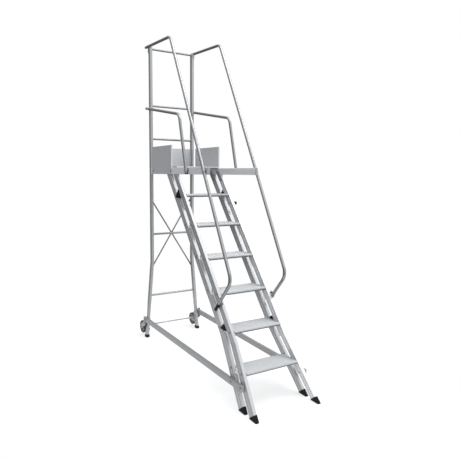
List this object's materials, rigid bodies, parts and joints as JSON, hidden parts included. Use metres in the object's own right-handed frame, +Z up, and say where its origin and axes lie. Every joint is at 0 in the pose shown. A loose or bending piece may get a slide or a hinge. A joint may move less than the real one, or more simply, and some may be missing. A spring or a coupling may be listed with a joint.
{
  "type": "rolling warehouse ladder",
  "caption": "Tall aluminium step ladder with a guarded platform, bent handrails, ribbed treads and a braced rear frame whose wheels take over when it is tipped back.",
  "frame": {"origin": "on the floor, at the centre of the ladder's footprint box", "axes": "+X to the climber's right, +Y from the foot of the flight towards the rear frame and wheels, +Z up"},
  "size_m": [0.642, 2.1, 2.8355],
  "materials": {
    "frame_aluminium": "satin anodised extrusion",
    "rail_aluminium": "satin anodised extrusion",
    "tread_aluminium": "ribbed anodised extrusion",
    "tube_polished": "bright drawn tube",
    "zinc_steel": "zinc plated",
    "bolt_steel": "zinc plated",
    "black_rubber": "matt moulded",
    "black_plastic": "matt moulded",
    "grey_plastic": "matt moulded",
    "tyre_rubber": "matt",
    "hub_grey": "moulded",
    "bush_nylon": "smooth"
  },
  "bodies": {
    "ladder": {"bar_plugs": "grey_plastic", "base_bar_left": "frame_aluminium", "base_bar_right": "frame_aluminium", "brace_rung": "frame_aluminium", "cross_brace_a": "frame_aluminium", "cross_brace_b": "frame_aluminium", "deck": "tread_aluminium", "deck_crossbars": "frame_aluminium", "frame_bolts": "bolt_steel", "front_rail_left": "rail_aluminium", "front_rail_right": "rail_aluminium", "guard_rung_low": "frame_aluminium", "guard_rung_middle": "frame_aluminium", "guard_rung_top": "frame_aluminium", "guard_saddles": "zinc_steel", "guard_tube_caps": "black_plastic", "handrail_left": "tube_polished", "handrail_right": "tube_polished", "handrail_tabs": "zinc_steel", "knee_rail_left": "tube_polished", "knee_rail_right": "tube_polished", "lower_rung": "frame_aluminium", "platform_beam_left": "frame_aluminium", "platform_beam_right": "frame_aluminium", "rail_feet_front": "black_rubber", "rail_feet_rear": "black_rubber", "rail_hanger_left": "frame_aluminium", "rail_hanger_right": "frame_aluminium", "rear_feet": "black_rubber", "rear_rail_left": "rail_aluminium", "rear_rail_right": "rail_aluminium", "rear_upright_left": "frame_aluminium", "rear_upright_right": "frame_aluminium", "tie_rod": "frame_aluminium", "toe_board_left": "frame_aluminium", "toe_board_rear": "frame_aluminium", "toe_board_right": "frame_aluminium", "tread_1": "tread_aluminium", "tread_2": "tread_aluminium", "tread_3": "tread_aluminium", "tread_4": "tread_aluminium", "tread_5": "tread_aluminium", "tread_6": "tread_aluminium", "tread_bolts": "bolt_steel", "tread_brackets_left": "zinc_steel", "tread_brackets_right": "zinc_steel", "tube_plugs": "black_plastic", "wedge_stops_left": "black_rubber", "wedge_stops_right": "black_rubber", "wheel_axles": "bolt_steel", "wheel_bracket_left": "zinc_steel", "wheel_bracket_right": "zinc_steel"},
    "wheel_left": {"wheel_tyre_left": "tyre_rubber", "wheel_hub_left": "hub_grey", "wheel_bush_left": "bush_nylon"},
    "wheel_right": {"wheel_tyre_right": "tyre_rubber", "wheel_hub_right": "hub_grey", "wheel_bush_right": "bush_nylon"},
    "lock_knob": {"lock_knob_grip": "black_plastic", "lock_knob_stud": "bolt_steel"}
  },
  "joints": [
    {"name": "wheel_left_spin", "type": "hinge", "parent": "ladder", "child": "wheel_left", "pos_m": [-0.2815, 0.9875, 0.08], "axis": [1, 0, 0], "continuous": true},
    {"name": "wheel_right_spin", "type": "hinge", "parent": "ladder", "child": "wheel_right", "pos_m": [0.2815, 0.9875, 0.08], "axis": [1, 0, 0], "continuous": true},
    {"name": "lock_knob_turn", "type": "hinge", "parent": "ladder", "child": "lock_knob", "pos_m": [0.245, 0.112, 1.379], "axis": [1, 0, 0], "range_deg": [0, 540]}
  ]
}
